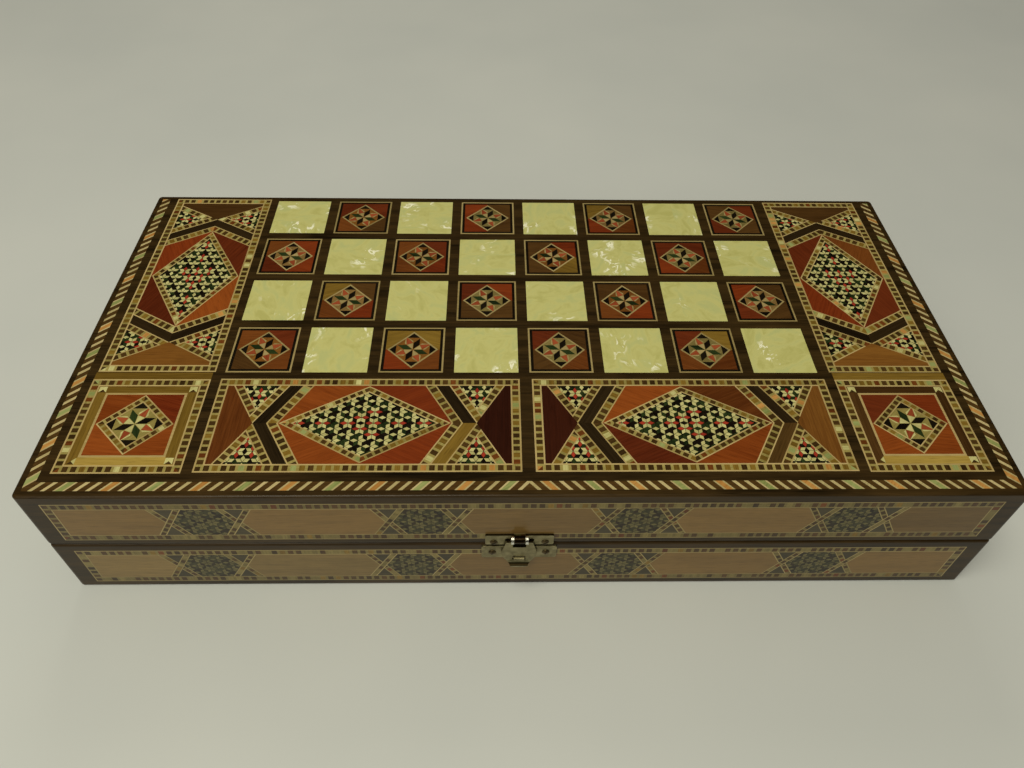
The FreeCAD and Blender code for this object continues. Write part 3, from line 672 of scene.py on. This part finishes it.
def paint_corner_panel(sheet, half_x, half_y, centre):
    """A square panel with a pinwheel lozenge, and a plain divider along its hinge side."""
    sheet.add(rectangle(half_x, half_y), "walnut")
    sheet.shift = (0, -DIVIDER / 2)
    inner = ladder_frame(sheet, rectangle(half_x, half_y - DIVIDER / 2), BORDER, EDGE_LINE)
    band = inset(inner, CORNER_BAND)
    is_right = centre.x > 0
    for k in range(4):
        after = (k + 1) % 4
        sheet.add([inner[k], inner[after], band[after], band[k]], CORNER_BANDS[is_right][k], 90 * k)
        x, y = inner[k]
        middle = (x - math.copysign(CORNER_BAND / 2, x), y - math.copysign(CORNER_BAND / 2, y))
        corner = inset(rectangle(CORNER_BAND / 2, CORNER_BAND / 2, middle), CORNER_GAP)
        sheet.add(corner, "cream", 45)
        sheet.add([corner[0], corner[1], centre_of(corner)], "rosewood", 45)
    sheet.add(band, "bone")
    field = inset(band, CORNER_LINE)
    for k in range(4):
        sheet.add(quarter_of(field, k), CORNER_WOODS[is_right][k], chance.uniform(*CORNER_GRAIN))
    tip = min(field[2][0], field[2][1]) - CORNER_LOZENGE_GAP
    inner = ladder_frame(sheet, diamond(tip, tip), LOZENGE_LADDER)
    pinwheel(sheet, inner[0][0], EIGHTH / 2, "lemon")


def paint_mosaic_square(sheet, half_x, half_y, centre):
    """A chess square: pale line, dark frame, four stained corners and a pinwheel lozenge."""
    outline = rectangle(half_x, half_y)
    sheet.add(outline, "horn")
    frame_line = inset(outline, SQUARE_LINE)
    sheet.add(frame_line, "ebony")
    field = inset(frame_line, SQUARE_FRAME)
    woods = [chance.choice(SQUARE_WOODS) for _ in range(4)]
    for k in range(4):
        sheet.add(quarter_of(field, k), woods[k], chance.uniform(*SQUARE_GRAIN))
    sheet.add(diamond(SQUARE_DIAMOND, SQUARE_DIAMOND), "horn", 45)
    ground = chance.choice(SQUARE_STAR_GROUNDS)
    pinwheel(sheet, SQUARE_DIAMOND - SQUARE_DIAMOND_LINE, SQUARE_STAR_TURN, ground, "horn")


def paint_pearl_square(sheet, half_x, half_y, centre):
    """A chess square of nacre, jointed from one to three plates."""
    plates = chance.choice(NACRE_PLATES)
    upright = chance.random() < 0.5
    joints = sorted(chance.uniform(-NACRE_CUT_REACH, NACRE_CUT_REACH) for _ in range(plates - 1))
    cuts = [-1.0] + joints + [1.0]
    for low, high in zip(cuts, cuts[1:]):
        x = (low * half_x, high * half_x) if upright else (-half_x, half_x)
        y = (-half_y, half_y) if upright else (low * half_y, high * half_y)
        plate = [(x[0], y[0]), (x[1], y[0]), (x[1], y[1]), (x[0], y[1])]
        sheet.add(plate, "nacre", chance.uniform(*NACRE_GRAIN))


def paint_rope(sheet, half_x, half_y, centre):
    """Slanting stripes along both ends and the front, leaning towards the middle."""
    inner_x, front = half_x - ROPE_WIDTH, -half_y + ROPE_WIDTH
    sheet.add([(-half_x, -half_y), (half_x, -half_y), (half_x, half_y), (inner_x, half_y),
               (inner_x, front), (-inner_x, front), (-inner_x, half_y), (-half_x, half_y)], "rosewood")
    for s in (-1, 1):
        colours = ROPE_COLOURS[::s]
        near, corner, far = (0, -half_y), (s * half_x, -half_y), (s * half_x, half_y)
        strip = anticlockwise([near, corner, (s * inner_x, front), (0, front)])
        rope_stripes(sheet, near, (s, 0), (0, 1), half_x, strip, -ROPE_LEAN, ROPE_FIRST, colours)
        strip = anticlockwise([corner, far, (s * inner_x, half_y), (s * inner_x, front)])
        rope_stripes(sheet, corner, (0, 1), (-s, 0), 2 * half_y, strip, ROPE_LEAN, 0.0, colours)


def rope_stripes(sheet, start, along, across, length, region, lean, first, colours):
    """One wide coloured stripe and two thin ones, over and over."""
    (x, y), (ux, uy), (nx, ny) = start, along, across
    gap = (ROPE_UNIT - ROPE_WIDE - 2 * ROPE_THIN) / 3

    def stripe(at, size, wood):
        corners = ((at, 0), (at + size, 0), (at + size + lean, ROPE_WIDTH), (at + lean, ROPE_WIDTH))
        shape = [(x + ux * s + nx * w, y + uy * s + ny * w) for s, w in corners]
        sheet.add(shape, wood, chance.uniform(*ROPE_GRAIN), region)

    for k in range(-1, int(length / ROPE_UNIT) + 2):
        at = first + k * ROPE_UNIT + gap / 2
        stripe(at, ROPE_WIDE, "pale bone")
        stripe(at + ROPE_EDGE, ROPE_WIDE - 2 * ROPE_EDGE, colours[k % 2])
        stripe(at + ROPE_WIDE + gap, ROPE_THIN, "pale bone")
        stripe(at + ROPE_WIDE + ROPE_THIN + 2 * gap, ROPE_THIN, "pale bone")


# ---- Side bands ----

def paint_band(sheet, half_x, half_y, medallions, plates):
    """The side band: plain pointed panels, crossings, and dark star medallions."""
    ladder_frame(sheet, rectangle(half_x, half_y), BAND_BORDER, BAND_LINE, BAND_LADDER)
    fx, fy = half_x - BAND_BORDER, half_y - BAND_BORDER
    field = rectangle(fx, fy)
    run = fy / TAN60
    sheet.add(field, "smoke")
    crossings = [-fx - 2 * run]
    for middle in medallions:
        crossings += [middle - BAND_REACH, middle + BAND_REACH]
    crossings.append(fx + 2 * run)
    for k, (left, right) in enumerate(zip(crossings, crossings[1:])):
        shape = anticlockwise(clipped([(left, 0), (left + run, -fy), (right - run, -fy), (right, 0),
                                       (right - run, fy), (left + run, fy)], field))
        if k % 2:
            star_mosaic(sheet, shape, BAND_TESSERA, origin=((left + right) / 2, 0), rows=0,
                        ring=BAND_RING, woods=BAND_STARS)
        else:
            sheet.add(shape, plates[k // 2], chance.uniform(*PLATE_GRAIN))
    shift = BAND_STRIP / 2 / SIN60
    for at in crossings[1:-1]:
        for lean in (-1, 1):
            low, high = at - lean * run, at + lean * run
            start, stop = (low - shift, -fy), (high - shift, fy)
            strip = clipped([start, (low + shift, -fy), (high + shift, fy), stop], field)
            ladder(sheet, start, stop, BAND_STRIP, strip, BAND_LINE, BAND_LADDER)


def lay_band(node, half, side, medallions):
    """Paints and lays the sheet of one side band, upright and facing outwards."""
    low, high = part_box(node)
    out, right = {"front": ((0, -1, 0), (1, 0, 0)), "back": ((0, 1, 0), (-1, 0, 0)),
                  "left": ((-1, 0, 0), (0, -1, 0)), "right": ((1, 0, 0), (0, 1, 0))}[side]
    out, right = Vector(out), Vector(right)
    middle, size = (low + high) / 2, high - low
    thickness = abs(size.dot(out))
    sheet = Sheet()
    paint_band(sheet, abs(size.dot(right)) / 2 / MM, size.z / 2 / MM, medallions, PLATE_WOODS[half])
    place = Matrix((right, Vector((0, 0, 1)), out)).transposed().to_4x4()
    place.translation = middle + out * thickness / 2
    replace(sheet.lay(node + "_sheet", place, thickness), node, half)


# ---- Playing field ----

def paint_point(wood):
    """The paint function of the long triangles in one wood."""
    def paint(sheet, half_x, half_y, centre):
        """One long triangle with a bone edge, an inner line and a small lozenge at its foot."""
        s = math.copysign(1, centre.x)
        outline = anticlockwise([(s * half_x, -half_y), (s * half_x, half_y), (-s * half_x, 0)])
        for distance, layer in zip(POINT_LAYERS, ("bone", wood, "bone", wood)):
            sheet.add(inset(outline, distance), layer)
        sheet.shift = (s * (half_x - POINT_STAR_AT), 0)
        sheet.add(diamond(POINT_STAR_EDGE, POINT_STAR_EDGE), "bone", 45)
        pinwheel(sheet, POINT_STAR, EIGHTH / 2)
    return paint


def paint_field_border(sheet, half_x, half_y, centre):
    ladder_frame(sheet, rectangle(half_x, half_y), FIELD_BORDER)


def paint_medallion(sheet, half_x, half_y, centre):
    """An octagon: ladder edge, stained segments and a large pinwheel."""
    radius = half_x / math.cos(math.pi / 8)
    outline = [polar(radius, EIGHTH * (k + 0.5)) for k in range(8)]
    sheet.add(outline, "bone")
    inner = ladder_frame(sheet, outline, LOZENGE_LADDER)
    for k in range(8):
        sheet.add([inner[k], inner[(k + 1) % 8], (0, 0)], "red" if k % 2 else "maroon", EIGHTH * k)
    star = ladder_frame(sheet, diamond(MEDALLION_STAR, MEDALLION_STAR), MEDALLION_LADDER)
    pinwheel(sheet, star[0][0], EIGHTH / 2)


# ---- Materials ----

def srgb(red, green, blue):
    """A colour given as 0 to 255 screen values, as linear light."""
    def linear(value):
        share = value / 255
        return share / 12.92 if share <= 0.04045 else ((share + 0.055) / 1.055) ** 2.4
    return linear(red), linear(green), linear(blue), 1.0


class Tree:
    """A short way to write a material's nodes. A space in a socket's name is written as _."""

    def __init__(self, name):
        self.material = bpy.data.materials.new(name)
        self.material.use_nodes = True
        self.nodes = self.material.node_tree.nodes
        self.links = self.material.node_tree.links
        self.shader = self.nodes["Principled BSDF"]

    def node(self, kind, settings=None, **inputs):
        made = self.nodes.new("ShaderNode" + kind)
        for key, value in (settings or {}).items():
            setattr(made, key, value)
        for key, value in inputs.items():
            self.put(made.inputs[key.replace("_", " ")], value)
        return made

    def put(self, socket, value):
        """Links a socket to another one, or sets it to a constant."""
        if isinstance(value, bpy.types.NodeSocket):
            self.links.new(value, socket)
        else:
            socket.default_value = value

    def shade(self, **inputs):
        for key, value in inputs.items():
            self.put(self.shader.inputs[key.replace("_", " ")], value)

    def noise(self, place, scale, detail=3.0, rough=0.55, distortion=0.0):
        """Noise from 0 to 1."""
        if isinstance(scale, tuple):
            place = self.node("Mapping", Vector=place, Scale=scale).outputs["Vector"]
            scale = 1.0
        made = self.node("TexNoise", Vector=place, Scale=scale, Detail=detail, Roughness=rough,
                         Distortion=distortion)
        return made.outputs["Fac"]

    def ramp(self, factor, *stops):
        made = self.node("ValToRGB", Fac=factor)
        elements = made.color_ramp.elements
        elements.remove(elements[1])
        for k, (position, colour) in enumerate(stops):
            element = elements[0] if k == 0 else elements.new(position)
            element.position = position
            element.color = colour
        return made.outputs["Color"]

    def tones(self, factor, positions, dark, light):
        """A ramp between two colours that are given as screen values."""
        return self.ramp(factor, *zip(positions, (srgb(*dark), srgb(*light))))

    def maths(self, operation, a, b=0.0):
        made = self.node("Math", {"operation": operation})
        self.put(made.inputs[0], a)
        self.put(made.inputs[1], b)
        return made.outputs[0]

    def spread(self, value, low, high):
        """A 0 to 1 value moved to run from low to high."""
        return self.node("MapRange", Value=value, To_Min=low, To_Max=high).outputs[0]

    def mixed(self, factor, first, second, blend="MIX"):
        settings = {"data_type": "RGBA", "blend_type": blend}
        return self.node("Mix", settings, Factor=factor, A=first, B=second).outputs["Result"]

    def bump(self, height, strength, distance):
        return self.node("Bump", Strength=strength, Distance=distance, Height=height).outputs["Normal"]

    def grain(self):
        """A made piece's own coordinates: millimetres, x along the grain, shifted for each piece."""
        return self.node("Attribute", {"attribute_name": "grain"}).outputs["Vector"]

    def tone(self):
        """How much lighter or darker each single piece of wood is, from -1 to 1."""
        return self.node("Attribute", {"attribute_name": "tone"}).outputs["Fac"]

    def millimetres(self, along="x"):
        """The object's own coordinates in millimetres, x along the chosen axis."""
        place = self.node("TexCoord").outputs["Object"]
        turn = (0, 0, math.pi / 2 if along == "y" else 0)
        return self.node("Mapping", Vector=place, Rotation=turn, Scale=(1 / MM,) * 3).outputs["Vector"]


def timber(name, dark, light, along=None, figure=INLAY_FIGURE, coat=COAT):
    """Lacquered wood: long fibres, broad figure and fine dark pores.

    The grain runs along an axis of the object, or by the mesh's own grain layer if none is given.
    """
    tree = Tree(name)
    inlaid = along is None
    place = tree.grain() if inlaid else tree.millimetres(along)
    fibre = tree.noise(place, *FIBRE_NOISE)
    broad = tree.noise(place, *BROAD_NOISE)
    pores = tree.noise(place, *PORE_NOISE)
    mixed = tree.maths("ADD", tree.maths("MULTIPLY", fibre, 1 - figure),
                       tree.maths("MULTIPLY", broad, figure))
    if inlaid:
        mixed = tree.maths("ADD", mixed, tree.maths("MULTIPLY", tree.tone(), TONE_SHARE))
    colour = tree.tones(mixed, WOOD_STOPS, dark, light)
    pore_tint = tree.ramp(pores, *PORE_TINTS)
    height = tree.maths("ADD", tree.maths("MULTIPLY", fibre, 0.5), tree.maths("MULTIPLY", pores, 0.5))
    tree.shade(Base_Color=tree.mixed(PORE_STRENGTH, colour, pore_tint, "MULTIPLY"),
               Roughness=tree.spread(fibre, *WOOD_ROUGHNESS),
               Normal=tree.bump(height, *WOOD_BUMP), Coat_Weight=coat,
               Coat_Roughness=COAT_ROUGHNESS, Specular_IOR_Level=LACQUER_SPECULAR)
    return tree.material


def nacre():
    """Mother of pearl: cloudy yellow layers, with painted glints: bright near-white colour painted in
    patches.
    """
    tree = Tree("nacre")
    place = tree.grain()
    cloud = tree.noise(place, *NACRE_CLOUD)
    silk = tree.noise(place, *NACRE_SILK)
    crumple = tree.noise(place, *NACRE_CRUMPLE)
    patch = tree.noise(place, *NACRE_PATCH)
    base = tree.ramp(cloud, *[(at, srgb(*colour)) for at, colour in NACRE_LAYERS])
    # Painted glints: crumpled shards inside sparse patches, painted near-white into the base colour.
    shard = tree.ramp(crumple, *NACRE_SHARDS)
    painted_glint = tree.maths("MULTIPLY", shard, tree.ramp(patch, *NACRE_PATCHES))
    tree.shade(Base_Color=tree.mixed(painted_glint, base, srgb(*NACRE_PAINTED_GLINT)),
               Roughness=tree.spread(silk, *NACRE_ROUGHNESS),
               Normal=tree.bump(tree.maths("ADD", silk, painted_glint), *NACRE_BUMP),
               Coat_Weight=NACRE_COAT, Coat_Roughness=NACRE_COAT_ROUGHNESS,
               Specular_IOR_Level=NACRE_SPECULAR)
    return tree.material


def metal(name, dark, light, roughness, painted_knuckle=None):
    """Plated metal, scratched and a little dull.

    A latch part can also get a painted colour round the latch pin (a painted highlight on the lid
    plate, a painted dark reflection on the tongue), and a painted dark reflection where it faces up.
    """
    tree = Tree(name)
    place = tree.millimetres()
    cloud = tree.noise(place, *METAL_CLOUD)
    scratch = tree.noise(place, *METAL_SCRATCH)
    colour = tree.tones(cloud, CLOUD_STOPS, dark, light)
    worn = tree.spread(scratch, *roughness)
    if painted_knuckle is not None:
        low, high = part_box("latch_pin")
        middle = (low + high) / 2 / MM
        split = tree.node("SeparateXYZ", Vector=place)
        out = tree.maths("SUBTRACT", split.outputs["Y"], middle.y)
        up = tree.maths("SUBTRACT", split.outputs["Z"], middle.z)
        squares = [tree.maths("POWER", offset, 2.0) for offset in (out, up)]
        away = tree.maths("SQRT", tree.maths("ADD", *squares))
        near = tree.maths("MULTIPLY", tree.maths("LESS_THAN", away, KNUCKLE_REACH),
                          tree.maths("LESS_THAN", out, KNUCKLE_BACK))
        # Painted dark reflection: faces that look up are darkened, but not on the knuckle.
        normal = tree.node("NewGeometry").outputs["Normal"]
        facing_up = tree.node("SeparateXYZ", Vector=normal).outputs["Z"]
        top_share = tree.ramp(facing_up, *TOP_REFLECTION_STOPS)
        painted_top_reflection = tree.maths("MULTIPLY", top_share, tree.maths("SUBTRACT", 1.0, near))
        colour = tree.mixed(painted_top_reflection, colour, srgb(*PAINTED_TOP_REFLECTION))
        # The painted knuckle colour round the pin: a painted highlight on the lid plate, a painted
        # dark reflection on the tongue.
        colour = tree.mixed(near, colour, srgb(*painted_knuckle))
        worn = tree.maths("SUBTRACT", worn, tree.maths("MULTIPLY", near, KNUCKLE_POLISH))
    tree.shade(Base_Color=colour, Roughness=worn, Metallic=1.0,
               Normal=tree.bump(scratch, *METAL_BUMP))
    return tree.material


def resin(name, dark, light):
    """Cast resin: faint clouds and a soft polish."""
    tree = Tree(name)
    cloud = tree.noise(tree.millimetres(), *RESIN_CLOUD)
    tree.shade(Base_Color=tree.tones(cloud, CLOUD_STOPS, dark, light),
               Roughness=tree.spread(cloud, *RESIN_ROUGHNESS), Normal=tree.bump(cloud, *RESIN_BUMP))
    return tree.material


made_materials = {}


def material(name):
    """The material of a wood of the table, or nacre, made once."""
    if name not in made_materials:
        made_materials[name] = nacre() if name == "nacre" else timber("inlay_" + name, *WOODS[name])
    return made_materials[name]


def finish_nodes(finish, *names):
    """Gives CAD nodes that stay their procedural material."""
    for name in names:
        mesh = nodes[name].data
        mesh.materials.clear()
        mesh.materials.append(finish)


# ---- Building the marquetry ----

# CAD name, paint function, and whether the sheet is drawn a quarter turn round.
OUTSIDE = (("rope_banding", paint_rope, False),
           ("pearl_squares", paint_pearl_square, False),
           ("mosaic_squares", paint_mosaic_square, False),
           ("front_panels", paint_lozenge_panel, False),
           ("side_panels", paint_lozenge_panel, True),
           ("corner_panels", paint_corner_panel, False))
INSIDE = (("light_points", paint_point("pale")),
          ("dark_points", paint_point("plum")),
          ("field_border", paint_field_border),
          ("field_medallion", paint_medallion))

for half in HALVES:
    for node, paint, turned in OUTSIDE:
        lay_flat(f"{half}_{node}", half, half == "lid", paint, turned)
    along = [FIRST_MEDALLION[half] + k * BAND_PITCH for k in range(MEDALLIONS_ALONG)]
    across = [-BAND_PITCH / 2, BAND_PITCH / 2]
    for side, medallions in (("front", along), ("back", along), ("left", across), ("right", across)):
        lay_band(f"{half}_{side}_band", half, side, medallions)
    for node, paint in INSIDE:
        lay_flat(f"{half}_{node}", half, half == "base", paint)

# ---- Finishes of the CAD pieces that stay ----

case_x = timber("case_wood_x", *CASE_WOOD, "x", CASE_FIGURE, CASE_COAT)
case_y = timber("case_wood_y", *CASE_WOOD, "y", CASE_FIGURE, CASE_COAT)
field_wood = timber("field_wood", *FIELD_WOOD, "x", FIELD_FIGURE, FIELD_COAT)
for half in HALVES:
    finish_nodes(case_x, half + "_board", half + "_front_rail", half + "_back_rail")
    finish_nodes(case_y, half + "_left_rail", half + "_right_rail")
    finish_nodes(field_wood, half + "_playing_field")
finish_nodes(metal("nickel", *NICKEL), "latch_keeper_plate", "latch_pin")
# The lid plate gets a painted highlight round the pin, and the tongue gets a painted dark reflection
# there.
finish_nodes(metal("plate_nickel", *NICKEL, KNUCKLE_PAINTED_HIGHLIGHT), "latch_lid_plate")
finish_nodes(metal("tongue_nickel", *NICKEL, KNUCKLE_PAINTED_REFLECTION), "latch_tongue")
finish_nodes(metal("screw_steel", *SCREW_STEEL), "latch_lid_screws", "latch_base_screws")
finish_nodes(metal("brass", *BRASS), *[name for name in nodes if "hinge" in name])


# ---- Playing pieces ----
# Each group of loose pieces is a CAD node and a body of the same name.

def turn_checker(bm, base, tone, along):
    """Adds one turned disc that stands on a base point. Only its bead has material 1."""
    x0, y0, z0 = base
    over = [(radius, CHECKER_HEIGHT - depth) for radius, depth in reversed(CHECKER_PROFILE)]
    grade = chance.uniform(-1, 1)
    spin = chance.uniform(0, math.tau)
    shift = Vector([chance.uniform(0, GRAIN_SHIFT) for _ in range(3)])
    rings = []
    for radius, z in list(CHECKER_PROFILE) + over:
        around = [polar(radius, 360 * k / TURNED_SIDES) for k in range(TURNED_SIDES)]
        rings.append([bm.verts.new((x0 + x * MM, y0 + y * MM, z0 + z * MM)) for x, y in around])
    faces = [bm.faces.new(list(reversed(rings[0]))), bm.faces.new(rings[-1])]
    for ring, above in zip(rings, rings[1:]):
        for k in range(TURNED_SIDES):
            after = (k + 1) % TURNED_SIDES
            faces.append(bm.faces.new((ring[k], ring[after], above[after], above[k])))
    for face in faces:
        is_side = len(face.verts) == 4
        middle = face.calc_center_median()
        away = math.hypot(middle.x - x0, middle.y - y0) / MM
        face.material_index = int(is_side and BEAD_RADII[0] < away < BEAD_RADII[1])
        face.smooth = is_side
        face[tone] = grade
        for loop in face.loops:
            place = loop.vert.co
            x, y = spun((place.x - x0) / MM, (place.y - y0) / MM, spin)
            loop[along] = Vector((x, y, place.z / MM)) + shift


def lay_checkers(node, wood, bead):
    """Turned discs in place of the CAD stacks, with a bead in a second wood."""
    bm = bmesh.new()
    tone = bm.faces.layers.float.new("tone")
    along = bm.loops.layers.float_vector.new("grain")
    height = CHECKER_HEIGHT * MM
    for low, high in solids_of(node):
        middle = (low + high) / 2
        for level in range(round((high.z - low.z) / height)):
            turn_checker(bm, (middle.x, middle.y, low.z + level * height), tone, along)
    replace(made_object(bm, node + "_turned", [material(wood), material(bead)]), node, node)


def lay_dice(node):
    """Rounded cubes with dark pips let into every face."""
    cubes, pips = bmesh.new(), bmesh.new()
    flatten = Matrix.Diagonal((1, 1, PIP_FLATNESS, 1))
    for low, high in solids_of(node):
        middle = (low + high) / 2
        half = (high.z - low.z) / 2 - DIE_INSET * MM
        made = bmesh.ops.create_cube(cubes, size=2 * half, matrix=Matrix.Translation(middle))["verts"]
        edges = list({edge for vert in made for edge in vert.link_edges})
        bmesh.ops.bevel(cubes, geom=made + edges, offset=DIE_ROUND * MM, segments=DIE_ROUND_STEPS,
                        profile=0.5, affect="EDGES")
        for count, out in DIE_FACES:
            facing = Vector(out).to_track_quat("Z", "Y").to_matrix().to_4x4()
            for x, y in PIP_SPOTS[count]:
                spot = facing @ Vector((x * PIP_SPACING * MM, y * PIP_SPACING * MM, half))
                place = Matrix.Translation(middle + spot) @ facing @ flatten
                bmesh.ops.create_uvsphere(pips, u_segments=2 * PIP_STEPS, v_segments=PIP_STEPS,
                                          radius=PIP_RADIUS * MM, matrix=place)
    for face in list(cubes.faces) + list(pips.faces):
        face.smooth = True
    replace(made_object(cubes, node + "_cubes", [resin("dice_resin", *DICE_RESIN)]), node, node)
    spots = made_object(pips, node + "_pips", [resin("pip_resin", *PIP_RESIN)])
    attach(spots, node)


lay_checkers("light_checkers", "maple", "plum")
lay_checkers("dark_checkers", "wenge", "maple")
lay_dice("dice")


# ---- Stage ----

def make_floor():
    bm = bmesh.new()
    bmesh.ops.create_grid(bm, x_segments=1, y_segments=1, size=FLOOR_SIZE / 2)
    mesh = bpy.data.meshes.new("floor")
    bm.to_mesh(mesh)
    bm.free()
    tree = Tree("floor_surface")
    mottle = tree.noise(tree.millimetres(), FLOOR_MOTTLE)
    tree.shade(Base_Color=tree.tones(mottle, WOOD_STOPS, *FLOOR_TONES),
               Roughness=tree.spread(mottle, *FLOOR_ROUGHNESS))
    mesh.materials.append(tree.material)
    floor = bpy.data.objects.new("floor", mesh)
    floor.location.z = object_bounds()[0].z - FLOOR_GAP
    show(floor)


def area_light(name, at, target, size, power, is_reflected):
    data = bpy.data.lights.new(name, "AREA")
    data.shape = "DISK"
    data.size = size
    data.energy = power
    data.color = WARM_LIGHT
    lamp = bpy.data.objects.new(name, data)
    lamp.location = at
    lamp.rotation_euler = (Vector(target) - Vector(at)).to_track_quat("-Z", "Y").to_euler()
    lamp.visible_glossy = is_reflected
    show(lamp)


def make_camera():
    data = bpy.data.cameras.new("camera")
    data.sensor_width = CAMERA_SENSOR
    data.lens = CAMERA_LENS
    data.clip_start = CAMERA_CLIP
    camera = bpy.data.objects.new("camera", data)
    away = CAMERA_RIGHT.cross(CAMERA_UP)
    turn = Matrix((CAMERA_RIGHT, CAMERA_UP, away)).transposed()
    camera.matrix_world = Matrix.Translation(CAMERA_AT) @ turn.to_4x4()
    show(camera)
    bpy.context.scene.camera = camera


def make_world():
    world = bpy.data.worlds.new("studio")
    bpy.context.scene.world = world
    world.use_nodes = True
    background = world.node_tree.nodes["Background"]
    background.inputs["Color"].default_value = srgb(*STUDIO_AIR)
    background.inputs["Strength"].default_value = STUDIO_STRENGTH
    world.cycles_visibility.glossy = False


make_floor()
for light in LIGHTS:
    area_light(*light)
make_camera()
make_world()
bpy.context.scene.view_settings.view_transform = "Standard"
